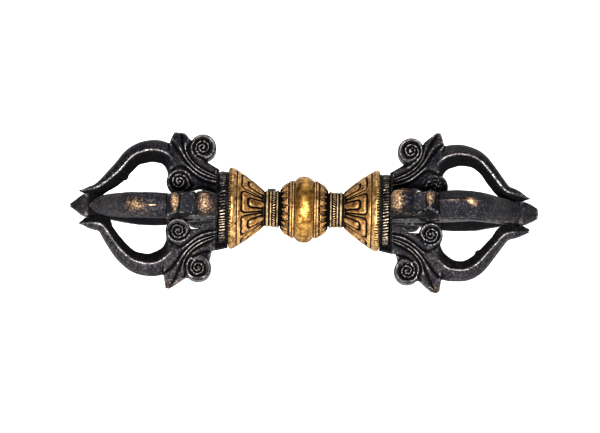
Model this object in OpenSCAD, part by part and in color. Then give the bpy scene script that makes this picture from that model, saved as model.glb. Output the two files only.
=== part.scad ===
// A five-pronged dorje vajra lying on its side: two cages of dark prongs on a gilt hub.
// X runs along the vajra and Z is up. The origin is on the resting surface, below the middle of the hub.
// Each end is drawn along +Z from the middle of the hub, with X as the radius of the prong being drawn.

/* [Hub ball] */
// Diameter over the ball in the middle of the hub
ball_d = 21.2; // [18:0.1:26]
// Length of the ball along the vajra
ball_l = 6; // [5:0.1:8]
// How far the edges of the ball fall below its crest
ball_drop = 1.6; // [0.6:0.1:2.2]

/* [Inner lotus] */
// Diameter over the lip beside the ball
inner_d = 18.6; // [15:0.1:22]
// Length of the inner lotus
inner_l = 4.7; // [4:0.1:7]
// Length of the double lip beside the ball
lip_l = 1.7; // [1:0.1:2.6]

/* [Neck collar] */
// Length of the neck collar
neck_l = 5.1; // [4.6:0.1:8]
// Diameter of the bare neck between its rings
neck_d = 10.6; // [9:0.1:11.6]
// Diameter over the bead ring
bead_d = 12.2; // [11.8:0.1:14.4]
// Length of the bead ring
bead_l = 1.8; // [1:0.1:2]
// Diameter over the twin rings
twin_d = 12; // [11.8:0.1:14.4]
// Length of each of the twin rings
twin_l = 1.1; // [0.7:0.1:1.2]

/* [Lotus cup] */
// Length of the petal cone
cup_l = 8.6; // [6:0.1:14]
// Diameter of the mouth of the petal cone
cup_d = 24.4; // [22:0.1:30]

/* [Rim band] */
// Diameter over the pointed edge of the rim band
rim_d = 26.2; // [24:0.1:32]
// Length of the rim band
rim_l = 2.8; // [2.6:0.1:5]
// How far the flanks of the rim band fall below its edge
rim_drop = 0.9; // [0.3:0.1:1.2]

/* [Moon disc] */
// Length of the disc from the rim band to the seat of the prongs
disc_l = 4; // [3:0.1:5]
// How far the flange that the prongs stand on lies inside the pearl band
flange_inset = 0.3; // [0.1:0.1:0.6]
// Thickness of that flange at its edge
flange_l = 0.7; // [0.5:0.1:1]
// Diameter over the pearl band
pearl_d = 23.8; // [22.6:0.1:26]
// Radial thickness of the pearl band
pearl_t = 1.7; // [1.2:0.1:2.2]
// Number of ridges round the pearl band
pearl_count = 72; // [48:1:112]

/* [Core] */
// Diameter of the rod that runs through the hub
rod_d = 4; // [3:0.1:4.8]
// Depth of the rod's socket in each central prong
rod_socket = 8; // [4:0.5:12]
// Diameter of the spigot that centres the moon disc in the lotus cup
spigot_d = 16; // [12:0.1:17]
// Depth of the spigot in the lotus cup
spigot_socket = 1.5; // [0.8:0.1:3]
// Radial clearance of the rod and the spigot
slide_fit = 0.05; // [0.02:0.01:0.1]

/* [Neck pin] */
// Diameter of the pin that locks the left neck to the rod
pin_d = 1.5; // [1:0.1:1.8]
// Length of the pin's head along the vajra
pin_head_l = 2.5; // [2:0.1:3.6]
// Width of the pin's head
pin_head_w = 1.9; // [1.8:0.1:2.8]
// Height of the pin's head above the bare neck
pin_head_h = 1.1; // [0.6:0.1:1.6]
// Distance of the pin from the middle of the plain part of the neck, toward the cup
pin_shift = 0.4; // [0:0.1:0.8]

/* [Central prong] */
// Length from the seat of the prongs to the tip of the vajra
head_l = 46.8; // [42:0.1:60]
// Width across the flats at the foot of the central prong
core_w = 6.8; // [6:0.1:7.4]
// Width across the flats at the waist of the central prong
waist_w = 5; // [3.6:0.1:6]
// Width across the flats of the block below the point
block_w = 7.2; // [6:0.1:8]
// Length of the point
point_l = 6; // [3:0.1:8]
// Width of the flat at the end of the left point
left_point_w = 0.9; // [0.4:0.1:4]
// Width of the flat at the end of the right point, which is worn blunt
right_point_w = 3; // [0.4:0.1:4]

/* [Side prongs] */
// Distance from the seat to the crest of the bow
bow_u = 20.8; // [19:0.1:24]
// Radius of the outer side of the bow at its crest
bow_v = 21.7; // [19:0.1:24]
// Thickness of the bow at its crest
bow_t = 6.6; // [5:0.1:7.4]
// Width of the bow across its side ridges
bow_w = 8; // [6:0.1:9]
// Length over which the bow rises from the head to its crest
bow_rise_u = 9; // [7:0.1:10]
// Height of that rise
bow_rise_v = 5.5; // [4:0.1:7]
// Distance that a side prong's tip stops short of the tip of the vajra
tip_back = 3.9; // [3:0.1:7]
// Thickness of a side prong at its tip
tip_t = 1.3; // [0.8:0.1:2]
// Width of a side prong near its tip
tip_w = 5; // [3:0.1:6]
// Clearance between the prongs where they come together
prong_gap = 0.1; // [0.05:0.05:0.3]

/* [Prong scrolls] */
// Diameter of the outer scroll, on the hub side of a prong's head
scroll_d = 7.8; // [6:0.1:9.6]
// Width of the outer scroll
scroll_w = 8.4; // [7:0.1:9.6]
// Distance from the seat to the middle of the outer scroll
scroll_u = 4.9; // [4.2:0.1:6.4]
// Radius from the axis to the middle of the outer scroll
scroll_v = 19.2; // [17.6:0.1:21]
// Diameter of the inner scroll, which faces the central prong
curl_d = 7.6; // [6:0.1:8.6]
// Width of the inner scroll
curl_w = 7; // [5:0.1:7.4]
// Distance from the seat to the middle of the inner scroll
curl_u = 12.2; // [10.4:0.1:14]
// Distance from the seat to the tip of the horn
horn_u = 14.2; // [12.4:0.1:16]
// Radius from the axis to the tip of the horn
horn_v = 25.2; // [23:0.1:26]
// Width of the horn at its tip
horn_w = 2.6; // [1.6:0.1:3.4]
// Bevel on the edges of the scrolls
scroll_edge = 0.9; // [0.4:0.1:1.2]

/* [Prong feet] */
// Length of the tenon under each side prong
tenon_l = 2; // [1:0.1:2.4]
// Width of the tenon
tenon_w = 4; // [2:0.1:5]
// Thickness of the tenon, measured outward from the axis
tenon_t = 3.4; // [2:0.1:4]
// Radius from the axis to the middle of the foot and its tenon
foot_v = 7.8; // [7:0.1:8]
// Thickness of the foot, measured outward from the axis
foot_t = 7.2; // [5:0.1:7.4]
// Length of the foot along the vajra
foot_l = 2; // [1:0.1:4]
// Clearance round the tenon in its mortise
tenon_fit = 0.1; // [0.05:0.05:0.2]
// Depth of the worn flats that the vajra lies on
rest_wear = 0.2; // [0.1:0.05:0.4]

/* [Hidden] */
$fn = 96;

gilt = [0.72, 0.54, 0.22];
bronze = [0.16, 0.13, 0.11];
iron = [0.30, 0.28, 0.27];

LEFT = -1;
RIGHT = 1;
// Turn about the axis of each prong that brings its radius to the named side
TOP_BACK = 135;
TOP_FRONT = 225;
BOTTOM_FRONT = 315;
BOTTOM_BACK = 45;

// Stations along one end, measured from the middle of the hub
ball_end = ball_l / 2;
inner_end = ball_end + inner_l;
neck_end = inner_end + neck_l;
cup_end = neck_end + cup_l;
rim_end = cup_end + rim_l;
seat = rim_end + disc_l;
tip = seat + head_l;

// The flange follows the pearl band that it holds
disc_d = pearl_d - 2 * flange_inset;

// The rod and everything that slides on it
bore_r = rod_d / 2 + slide_fit;
rod_end = seat + rod_socket;
collar_mid = (bead_l + neck_l - 2 * twin_l) / 2;
pin_at = inner_end + collar_mid + pin_shift;

// The inner scroll clears the foot of the central prong
curl_v = core_w / 2 + 3 * prong_gap + curl_d / 2;

// The vajra lies on the bevelled edges of its lower scrolls or on its lower horns, whichever reach further
scroll_reach = scroll_v + scroll_d / 2 + scroll_w / 2 - scroll_edge;
horn_reach = horn_v + horn_w / 2;
axis_h = max(scroll_reach, horn_reach) / sqrt(2) - rest_wear;

// Sets a piece drawn along +Z on the right or left end of the vajra
module at_end(side) {
    translate([0, 0, axis_h])
        mirror([side < 0 ? 1 : 0, 0, 0])
            rotate([0, 90, 0])
                children();
}

// A cylinder across the plane of a prong, at distance u from the seat and radius v
module across(u, v, d, w) {
    translate([v, 0, seat + u])
        rotate([90, 0, 0])
            cylinder(d = d, h = w, center = true, $fn = 32);
}

// A scroll across the plane of a prong, with bevelled edges and a raised eye on each face
module scroll(u, v, d, w) {
    e = scroll_edge;
    translate([v, 0, seat + u])
        rotate([90, 0, 0]) {
            rotate_extrude($fn = 32)
                polygon([
                    [0, -w / 2], [d / 2 - e, -w / 2], [d / 2, e - w / 2],
                    [d / 2, w / 2 - e], [d / 2 - e, w / 2], [0, w / 2]
                ]);
            cylinder(d = d / 3, h = w + scroll_edge / 2, center = true, $fn = 16);
        }
}

// A four-sided taper from width a to width b over a height h
module taper(a, b, h) {
    linear_extrude(h, scale = b / a)
        square(a, center = true);
}

function bezier(p, t) =
    pow(1 - t, 3) * p[0] + 3 * t * pow(1 - t, 2) * p[1] + 3 * t * t * (1 - t) * p[2] + pow(t, 3) * p[3];

module hub_ball() {
    r = (pow(ball_l / 2, 2) + pow(ball_drop, 2)) / (2 * ball_drop);
    color(gilt)
        at_end(RIGHT)
            rotate_extrude()
                intersection() {
                    translate([bore_r, -ball_l / 2])
                        square([ball_d, ball_l]);
                    union() {
                        translate([ball_d / 2 - r, 0])
                            circle(r);
                        translate([0, -ball_l / 2])
                            square([ball_d / 2 - r, ball_l]);
                    }
                }
}

module inner_lotus(side) {
    lip_r = inner_d / 2;
    end_r = bead_d / 2;
    lip = lip_l / 2;
    steps = 8;
    color(gilt)
        at_end(side)
            translate([0, 0, ball_end])
                rotate_extrude()
                    union() {
                        polygon(concat(
                            [[bore_r, 0], [lip_r - lip / 2, 0], [lip_r - lip / 2, lip_l]],
                            [for (i = [0 : steps])
                                [
                                    end_r + (lip_r - lip / 2 - end_r) * cos(90 * i / steps),
                                    lip_l + (inner_l - lip_l) * sin(90 * i / steps)
                                ]],
                            [[bore_r, inner_l]]
                        ));
                        for (z = [lip / 2, lip * 3 / 2])
                            translate([lip_r - lip / 2, z])
                                circle(lip / 2, $fn = 24);
                    }
}

// The bore for the neck pin, drawn downward from the head of the pin
module pin_bore(d) {
    translate([0, 0, pin_at])
        rotate([0, 90, TOP_BACK])
            translate([0, 0, -pin_depth])
                cylinder(d = d, h = pin_depth + neck_d / 2 + pin_head_h, $fn = 32);
}

// The pin crosses the rod and ends halfway through the far wall of the collar
pin_depth = (neck_d / 2 + bore_r) / 2;

module neck_collar(side) {
    color(gilt)
        at_end(side)
            difference() {
                translate([0, 0, inner_end])
                    rotate_extrude()
                        union() {
                            translate([bore_r, 0])
                                square([neck_d / 2 - bore_r, neck_l]);
                            translate([bore_r, 0])
                                square([bead_d / 2 - bead_l / 2 - bore_r, bead_l]);
                            translate([bead_d / 2 - bead_l / 2, bead_l / 2])
                                circle(bead_l / 2, $fn = 32);
                            for (z = [neck_l - twin_l * 3 / 2, neck_l - twin_l / 2]) {
                                translate([twin_d / 2 - twin_l / 2, z])
                                    circle(twin_l / 2, $fn = 32);
                                translate([bore_r, z - twin_l / 2])
                                    square([twin_d / 2 - twin_l / 2 - bore_r, twin_l]);
                            }
                        }
                if (side == LEFT) {
                    pin_bore(pin_d + 2 * slide_fit);
                    pin_head(slide_fit);
                }
            }
}

// The flat head of the neck pin, let into the rings beside it
module pin_head(clear) {
    translate([0, 0, pin_at])
        rotate([0, 0, TOP_BACK])
            translate([neck_d / 2, -pin_head_w / 2 - clear, -pin_head_l / 2 - clear])
                cube([pin_head_h + clear, pin_head_w + 2 * clear, pin_head_l + 2 * clear]);
}

module neck_pin() {
    color(iron)
        at_end(LEFT) {
            pin_bore(pin_d);
            pin_head(0);
        }
}

module core_rod() {
    color(iron)
        difference() {
            at_end(RIGHT)
                cylinder(d = rod_d, h = 2 * rod_end, center = true);
            at_end(LEFT)
                pin_bore(pin_d + 2 * slide_fit);
        }
}

module lotus_cup(side) {
    neck_r = twin_d / 2;
    color(gilt)
        at_end(side)
            translate([0, 0, neck_end])
                rotate_extrude()
                    difference() {
                        polygon([
                            [bore_r, 0], [neck_r - twin_l / 2, 0], [neck_r, twin_l / 2],
                            [cup_d / 2, cup_l - twin_l / 2], [cup_d / 2, cup_l], [bore_r, cup_l]
                        ]);
                        translate([0, cup_l - spigot_socket - slide_fit])
                            square([spigot_d / 2 + slide_fit, spigot_socket + slide_fit]);
                    }
}

module rim_band(side) {
    edge_r = rim_d / 2;
    color(gilt)
        at_end(side)
            translate([0, 0, cup_end])
                rotate_extrude()
                    polygon([
                        [spigot_d / 2 + slide_fit, 0], [edge_r - rim_drop, 0], [edge_r, rim_l * 0.4],
                        [edge_r, rim_l * 0.6], [edge_r - rim_drop, rim_l], [spigot_d / 2 + slide_fit, rim_l]
                    ]);
}

module pearl_band(side) {
    band_l = disc_l - flange_l;
    notch = PI * pearl_d / pearl_count / 3;
    color(bronze)
        at_end(side)
            translate([0, 0, rim_end])
                difference() {
                    cylinder(d = pearl_d, h = band_l);
                    cylinder(d = pearl_d - 2 * pearl_t, h = 3 * band_l, center = true);
                    for (i = [0 : pearl_count - 1])
                        rotate(360 * i / pearl_count)
                            translate([pearl_d / 2, 0, band_l / 2])
                                rotate(45)
                                    cube([notch, notch, 2 * band_l], center = true);
                }
}

module moon_disc(side) {
    barrel_r = pearl_d / 2 - pearl_t - slide_fit;
    spigot_l = rim_l + spigot_socket;
    mortise = [tenon_t + 2 * tenon_fit, tenon_w + 2 * tenon_fit, 2 * (tenon_l + tenon_fit)];
    color(bronze)
        at_end(side)
            difference() {
                rotate_extrude()
                    polygon([
                        [bore_r, rim_end - spigot_l], [spigot_d / 2, rim_end - spigot_l],
                        [spigot_d / 2, rim_end], [barrel_r, rim_end], [barrel_r, seat - flange_l],
                        [disc_d / 2, seat - flange_l], [disc_d / 2, seat], [bore_r, seat]
                    ]);
                for (turn = [BOTTOM_BACK, TOP_BACK, TOP_FRONT, BOTTOM_FRONT])
                    rotate(turn)
                        translate([foot_v, 0, seat])
                            cube(mortise, center = true);
            }
}

// The solid outline of the central prong, grown by a clearance
module core_form(point_w, clear) {
    foot = core_w + 2 * clear;
    waist = waist_w + 2 * clear;
    block = block_w + 2 * clear;
    // Heights of the foot, the waist and the block above the seat
    block_u = head_l - point_l;
    foot_u = rod_socket + core_w / 2;
    waist_u = (foot_u + block_u) / 2;
    translate([0, 0, seat]) {
        taper(foot, foot, foot_u);
        translate([0, 0, foot_u])
            taper(foot, waist, waist_u - foot_u);
        translate([0, 0, waist_u])
            taper(waist, block, block_u - waist_u);
        translate([0, 0, block_u])
            taper(block, point_w + 2 * clear, point_l);
    }
}

module central_prong(side) {
    color(bronze)
        at_end(side)
            difference() {
                core_form(side == LEFT ? left_point_w : right_point_w, 0);
                translate([0, 0, seat])
                    cylinder(r = bore_r, h = 2 * (rod_socket + slide_fit), center = true);
            }
}

// Middle line of the bow in two curves, from the head to the crest and from the crest to the tip
crest = [bow_u, bow_v - bow_t / 2];
bow_end = [head_l - tip_back, block_w / 2 + prong_gap + tip_t / 2];
bow_rise = [
    [bow_u - bow_rise_u, crest.y - bow_rise_v],
    [bow_u - bow_rise_u * 0.88, crest.y - bow_rise_v * 0.3],
    [bow_u - bow_rise_u * 0.55, crest.y],
    crest
];
bow_fall = [
    crest,
    [bow_u + (bow_end.x - bow_u) * 0.52, crest.y],
    [bow_u + (bow_end.x - bow_u) * 0.42, bow_end.y + bow_t * 0.4],
    bow_end
];
RISE_STEPS = 5;
FALL_STEPS = 14;

function bow_at(i) =
    i < RISE_STEPS ? bezier(bow_rise, i / RISE_STEPS) : bezier(bow_fall, (i - RISE_STEPS) / FALL_STEPS);

// One cross-section of the bow: a domed outer face, a ridge at each side and a narrow inner face
module bow_section(i) {
    here = bow_at(i);
    step = bow_at(i + 1) - bow_at(max(i - 1, 0));
    k = max(0, (i - RISE_STEPS) / FALL_STEPS);
    t = bow_t + (tip_t - bow_t) * pow(k, 2.2);
    w = bow_w + (tip_w - bow_w) * k;
    translate([here.y, 0, seat + here.x])
        rotate([0, atan2(step.y, step.x), 0])
            linear_extrude(prong_gap / 5, center = true)
                polygon([
                    [0, w / 2], [t * 0.36, w * 0.34], [t / 2, 0], [t * 0.36, -w * 0.34],
                    [0, -w / 2], [-t / 2, -w / 5], [-t / 2, w / 5]
                ]);
}

module bow() {
    for (i = [0 : RISE_STEPS + FALL_STEPS - 1])
        hull() {
            bow_section(i);
            bow_section(i + 1);
        }
}

// The scrolled head that a side prong grows from
module prong_head() {
    shoulder = [scroll_u + scroll_d * 0.2, scroll_v - scroll_d * 0.75];
    throat = [bow_u - bow_rise_u * 0.87, crest.y - bow_rise_v * 0.27];
    body_w = bow_w * 0.8;
    cheek_w = bow_w * 0.72;
    // Body from the foot to the throat of the bow
    hull() {
        foot(foot_t, body_w);
        across(shoulder.x, shoulder.y, bow_t * 0.94, body_w);
    }
    hull() {
        across(shoulder.x, shoulder.y, bow_t * 0.94, body_w);
        across(throat.x, throat.y, bow_t, body_w);
    }
    // Neck of the outer scroll
    hull() {
        across(shoulder.x, shoulder.y, bow_t * 0.8, body_w);
        across(scroll_u, scroll_v, scroll_d * 0.6, body_w);
    }
    // Arm of the inner scroll and the cheek between it and the bow
    hull() {
        foot(foot_t * 0.7, cheek_w);
        across(curl_u, curl_v, curl_d * 0.8, cheek_w);
    }
    hull() {
        across(curl_u, curl_v, curl_d * 0.8, cheek_w);
        across(throat.x, throat.y, bow_t * 0.94, cheek_w);
        across(shoulder.x, shoulder.y, bow_t * 0.8, cheek_w);
    }
    // Horn
    hull() {
        across(throat.x - horn_w * 0.2, throat.y + horn_w * 0.6, bow_t * 0.85, cheek_w);
        across(horn_u - horn_w / 5, horn_v - horn_w / 5, horn_w * 0.4, horn_w);
    }
    scroll(scroll_u, scroll_v, scroll_d, scroll_w);
    scroll(curl_u, curl_v, curl_d, curl_w);
}

// The foot that stands on the moon disc, from its inner side to a thickness t
module foot(t, w) {
    translate([foot_v - foot_t / 2, -w / 2, seat])
        cube([t, w, foot_l]);
}

// The quarter of the cage that belongs to one side prong
module quarter() {
    reach = horn_v + scroll_d;
    translate([prong_gap, 0, seat])
        linear_extrude(head_l)
            polygon([[0, 0], [reach, reach], [reach, -reach]]);
}

module side_prong(side, turn) {
    color(bronze)
        difference() {
            at_end(side)
                rotate(turn) {
                    difference() {
                        intersection() {
                            union() {
                                bow();
                                prong_head();
                            }
                            quarter();
                        }
                        core_form(side == LEFT ? left_point_w : right_point_w, prong_gap);
                    }
                    translate([foot_v, 0, seat])
                        cube([tenon_t, tenon_w, 2 * tenon_l], center = true);
                }
            // Worn flats where the lower prongs lie on the resting surface
            translate([-tip, -tip, -tip])
                cube([2 * tip, 2 * tip, tip]);
        }
}

hub_ball();
core_rod();
neck_pin();
inner_lotus(LEFT);  // left_inner_lotus
inner_lotus(RIGHT);  // right_inner_lotus
neck_collar(LEFT);  // left_neck_collar
neck_collar(RIGHT);  // right_neck_collar
lotus_cup(LEFT);  // left_lotus_cup
lotus_cup(RIGHT);  // right_lotus_cup
rim_band(LEFT);  // left_rim_band
rim_band(RIGHT);  // right_rim_band
pearl_band(LEFT);  // left_pearl_band
pearl_band(RIGHT);  // right_pearl_band
moon_disc(LEFT);  // left_moon_disc
moon_disc(RIGHT);  // right_moon_disc
central_prong(LEFT);  // left_central_prong
central_prong(RIGHT);  // right_central_prong
side_prong(LEFT, TOP_FRONT);  // left_prong_top_front
side_prong(RIGHT, TOP_FRONT);  // right_prong_top_front
side_prong(LEFT, TOP_BACK);  // left_prong_top_back
side_prong(RIGHT, TOP_BACK);  // right_prong_top_back
side_prong(LEFT, BOTTOM_FRONT);  // left_prong_bottom_front
side_prong(RIGHT, BOTTOM_FRONT);  // right_prong_bottom_front
side_prong(LEFT, BOTTOM_BACK);  // left_prong_bottom_back
side_prong(RIGHT, BOTTOM_BACK);  // right_prong_bottom_back
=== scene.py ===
import math

import bpy
import numpy as np
from mathutils import Matrix, Vector


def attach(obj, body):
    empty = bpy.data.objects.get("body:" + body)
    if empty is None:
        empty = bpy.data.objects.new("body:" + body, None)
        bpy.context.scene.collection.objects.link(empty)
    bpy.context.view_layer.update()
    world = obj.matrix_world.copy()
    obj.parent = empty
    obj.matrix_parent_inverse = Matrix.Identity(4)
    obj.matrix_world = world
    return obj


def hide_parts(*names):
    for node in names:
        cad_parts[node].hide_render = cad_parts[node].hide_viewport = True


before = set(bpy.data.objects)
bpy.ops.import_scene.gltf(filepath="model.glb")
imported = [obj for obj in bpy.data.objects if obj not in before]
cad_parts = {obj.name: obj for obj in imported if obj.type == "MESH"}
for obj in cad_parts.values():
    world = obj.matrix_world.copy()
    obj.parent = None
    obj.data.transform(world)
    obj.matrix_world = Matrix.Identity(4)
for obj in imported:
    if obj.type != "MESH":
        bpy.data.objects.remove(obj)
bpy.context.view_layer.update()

# Shapes are worked out in millimetres and turned into metres when a mesh is made.
# u runs along one end of the vajra, r or v is the distance from the axis, and w runs across a prong.
MM = 0.001
HORN_REACH = 26.5
REST_WEAR = 0.2
AXIS_H = HORN_REACH / math.sqrt(2) - REST_WEAR
SIDES = {"left": -1, "right": 1}

# Stations from the middle of the hub
BALL_END = 3.0
INNER_END = 7.7
NECK_END = 12.8
CUP_END = 21.4
RIM_END = 24.2
SEAT = 28.2
HEAD_L = 46.8

# Joints inside the object
BORE_R = 2.05
ROD_SOCKET = 8.05
SPIGOT_R = 8.05
SPIGOT_SOCKET = 1.55
BARREL_R = 10.25
FLANGE_L = 0.7
FOOT_V = 7.8
TENON_L = 2.0
TENON_W = 4.0
TENON_T = 3.4

# Angle of each prong from the front (-Y) upward, in degrees
QUARTER = {"top_front": 45, "top_back": 135, "bottom_back": 225, "bottom_front": 315}
DIAGONAL = math.sqrt(0.5)
FULL_TURN = 2 * math.pi
FAR = 1e9


# Numeric helpers


def smoothstep(low, high, x):
    t = np.clip((x - low) / (high - low), 0, 1)
    return t * t * (3 - 2 * t)


def bump(d, width):
    """A rounded ridge of height 1 along d = 0."""
    return np.exp(-((d / width) ** 2))


def smooth_min(a, b, k):
    h = np.clip(0.5 + 0.5 * (b - a) / k, 0, 1)
    return b + (a - b) * h - k * h * (1 - h)


def rounded_corner(a, b, radius):
    """Signed distance to a shape with a rounded corner, from the distances past its two sides."""
    a = a + radius
    b = b + radius
    return np.hypot(np.maximum(a, 0), np.maximum(b, 0)) + np.minimum(np.maximum(a, b), 0) - radius


def eased(x, at, values, width):
    """Interpolates between the values with their corners rounded over a width."""
    step = 0.1
    fine = np.arange(at[0] - width, at[-1] + width, step)
    window = np.hanning(2 * round(width / step / 2) + 3)
    smooth = np.convolve(np.interp(fine, at, values), window / window.sum(), "same")
    return np.interp(np.clip(x, at[0], at[-1]), fine, smooth)


def curve_through(points, n=20):
    """A Catmull-Rom curve through the points, n samples a span."""
    p = np.array([points[0], *points, points[-1]], float)
    t = np.linspace(0, 1, n, endpoint=False)[:, None]
    spans = []
    for a, b, c, d in zip(p, p[1:], p[2:], p[3:]):
        square = (2 * a - 5 * b + 4 * c - d) * t**2
        cube = (3 * b - a - 3 * c + d) * t**3
        spans.append(0.5 * (2 * b + (c - a) * t + square + cube))
    return np.concatenate([*spans, p[-1:]])


def smoothed(points, width):
    """Evens out the bends of a curve over a number of samples, with its ends held."""
    window = np.hanning(width + 2)[1:-1]
    pad = width // 2
    padded = np.pad(points, ((pad, pad), (0, 0)), mode="reflect", reflect_type="odd")
    return np.stack([np.convolve(padded[:, i], window / window.sum(), "valid") for i in (0, 1)], 1)


def resample(points, step):
    """Points at even steps along a line."""
    p = np.array(points, float)
    along = np.concatenate([[0], np.cumsum(np.hypot(*np.diff(p, axis=0).T))])
    at = np.linspace(0, along[-1], max(2, round(along[-1] / step)) + 1)
    return np.stack([np.interp(at, along, p[:, i]) for i in (0, 1)], 1)


def waves(x, y, z, seed, size, count=10):
    """Smooth lumps of about the given size, between about -1 and 1."""
    rng = np.random.default_rng(seed)
    total = 0
    for _ in range(count):
        k = rng.normal(size=3)
        k *= FULL_TURN / (size * rng.uniform(0.7, 1.5)) / np.linalg.norm(k)
        total = total + np.sin(k[0] * x + k[1] * y + k[2] * z + rng.uniform(0, FULL_TURN))
    return total / math.sqrt(count)


# Meshes

CREASE_ROUNDS = 8
RELAX_PULLS = (0.5, -0.52, 0.5, -0.52)


def neighbour_mean(faces, size):
    """A function that gives the mean of each point's neighbours in a mesh of quads."""
    edges = np.concatenate([faces[:, [i, (i + 1) % 4]] for i in range(4)])
    count = np.maximum(np.bincount(edges.ravel(), minlength=size), 1)[:, None]

    def mean(points):
        out = np.zeros_like(points)
        for k in range(points.shape[1]):
            out[:, k] = np.bincount(edges[:, 0], points[edges[:, 1], k], size)
            out[:, k] += np.bincount(edges[:, 1], points[edges[:, 0], k], size)
        return out / count

    return mean


def creases(points, faces, normals):
    """Signed curvature of a mesh, above 0 on edges and below 0 in grooves."""
    mean = neighbour_mean(faces, len(points))
    flat = points
    for _ in range(CREASE_ROUNDS):
        flat = 0.5 * flat + 0.5 * mean(flat)
    return np.einsum("ij,ij->i", points - flat, normals)


def relax(points, faces):
    """Evens out the steps that the grid leaves."""
    mean = neighbour_mean(faces, len(points))
    for pull in RELAX_PULLS:
        points = points + (mean(points) - points) * pull
    return points


def store_marks(mesh, marks):
    """Stores values at the points of a mesh, for its material."""
    for key, values in marks.items():
        layer = mesh.attributes.new(key, "FLOAT", "POINT")
        layer.data.foreach_set("value", np.clip(values, -1, 1).astype(np.float32))


def add_piece(node, look, side, points, faces, material, marks, crease_scale):
    """Makes a piece for a CAD node from points of one end, in millimetres from the axis, and quads."""
    name = f"{node}_{look}"
    points = points * (side, 1, 1) + (0, 0, AXIS_H)
    if side < 0:
        faces = faces[:, ::-1]
    mesh = bpy.data.meshes.new(name)
    mesh.from_pydata((points * MM).tolist(), [], faces.tolist())
    mesh.validate()
    mesh.polygons.foreach_set("use_smooth", np.ones(len(mesh.polygons), bool))
    mesh.update()
    normals = np.empty(len(points) * 3, np.float32)
    mesh.vertices.foreach_get("normal", normals)
    crease = creases(points, faces, normals.reshape(-1, 3)) / crease_scale
    store_marks(mesh, {"crease": crease, **marks})
    piece = bpy.data.objects.new(name, mesh)
    bpy.context.scene.collection.objects.link(piece)
    mesh.materials.append(material)
    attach(piece, "root")
    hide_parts(node)
    return piece


def grid_quads(rows, columns, closed):
    """Quads over a grid of points whose columns meet again, and whose rows do too where closed."""
    i, j = np.meshgrid(np.arange(rows if closed else rows - 1), np.arange(columns), indexing="ij")
    i2 = (i + 1) % rows
    j2 = (j + 1) % columns
    corners = [i * columns + j, i * columns + j2, i2 * columns + j2, i2 * columns + j]
    return np.stack(corners, 2).reshape(-1, 4)


CELL_CORNERS = [(i, j, k) for i in (0, 1) for j in (0, 1) for k in (0, 1)]


def at_corner(a, corner):
    """The part of a grid that holds one corner of every cell."""
    return a[tuple(slice(c, c + n - 1) for c, n in zip(corner, a.shape))]


def cell_points(f, at):
    """Mean of the places where the zero surface crosses the edges of each cell."""
    value = {c: f[at[:, 0] + c[0], at[:, 1] + c[1], at[:, 2] + c[2]] for c in CELL_CORNERS}
    total = np.zeros((len(at), 3))
    count = np.zeros(len(at))
    for a in CELL_CORNERS:
        for axis in range(3):
            if a[axis]:
                continue
            b = tuple(1 if i == axis else n for i, n in enumerate(a))
            hit = (value[a] < 0) != (value[b] < 0)
            t = value[a][hit] / (value[a][hit] - value[b][hit])
            p = np.tile(np.array(a, float), (hit.sum(), 1))
            p[:, axis] += t
            total[hit] += p
            count[hit] += 1
    return at + total / count[:, None]


def crossing_quads(inside, index, axis):
    """Quads round the grid edges along one axis that cross the surface."""
    o1, o2 = [i for i in range(3) if i != axis]
    low = [slice(1, -1)] * 3
    low[axis] = slice(0, -1)
    high = list(low)
    high[axis] = slice(1, None)
    start = inside[tuple(low)]
    crossing = np.argwhere(start != inside[tuple(high)])
    leaving = start[tuple(crossing.T)]
    ring = []
    for d1, d2 in ((0, 0), (1, 0), (1, 1), (0, 1)):
        cell = crossing.copy()
        cell[:, o1] += d1
        cell[:, o2] += d2
        ring.append(index[tuple(cell.T)])
    quads = np.stack(ring, 1)
    turn = leaving if axis != 1 else ~leaving
    quads[~turn] = quads[~turn][:, ::-1]
    return quads


def surface_net(f, origin, step):
    """Points and quads over the zero surface of a grid of signed distances, negative inside."""
    inside = f < 0
    cells = tuple(n - 1 for n in f.shape)
    some = np.zeros(cells, np.uint8)
    for corner in CELL_CORNERS:
        some += at_corner(inside, corner)
    active = (some > 0) & (some < len(CELL_CORNERS))
    at = np.argwhere(active)
    index = np.full(cells, -1, np.int64)
    index[active] = np.arange(len(at))
    points = np.array(origin) + cell_points(f, at) * step
    return points, np.concatenate([crossing_quads(inside, index, axis) for axis in range(3)])


# Shader nodes


def node_material(name):
    material = bpy.data.materials.new(name)
    material.use_nodes = True
    tree = material.node_tree
    return material, tree, tree.nodes["Principled BSDF"]


def object_coords(tree):
    return tree.nodes.new("ShaderNodeTexCoord").outputs["Object"]


def noise(tree, coords, scale, detail, roughness):
    n = tree.nodes.new("ShaderNodeTexNoise")
    n.inputs["Scale"].default_value = scale
    n.inputs["Detail"].default_value = detail
    n.inputs["Roughness"].default_value = roughness
    tree.links.new(coords, n.inputs["Vector"])
    return n.outputs["Fac"]


def stretch(tree, value, low, high, interpolation="LINEAR"):
    """Maps low..high of a value to 0..1 in a straight line."""
    n = tree.nodes.new("ShaderNodeMapRange")
    n.interpolation_type = interpolation
    n.inputs["From Min"].default_value = low
    n.inputs["From Max"].default_value = high
    tree.links.new(value, n.inputs["Value"])
    return n.outputs["Result"]


def spread(tree, value, low, high):
    """Maps low..high of a value to 0..1 with soft ends."""
    return stretch(tree, value, low, high, "SMOOTHSTEP")


def ramp(tree, factor, low, high):
    """Maps 0..1 to low..high."""
    n = tree.nodes.new("ShaderNodeMapRange")
    n.inputs["To Min"].default_value = low
    n.inputs["To Max"].default_value = high
    tree.links.new(factor, n.inputs["Value"])
    return n.outputs["Result"]


def math_node(tree, operation, a, b):
    n = tree.nodes.new("ShaderNodeMath")
    n.operation = operation
    n.use_clamp = True
    for socket, value in zip(n.inputs, (a, b)):
        if isinstance(value, (int, float)):
            socket.default_value = value
        else:
            tree.links.new(value, socket)
    return n.outputs[0]


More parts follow.
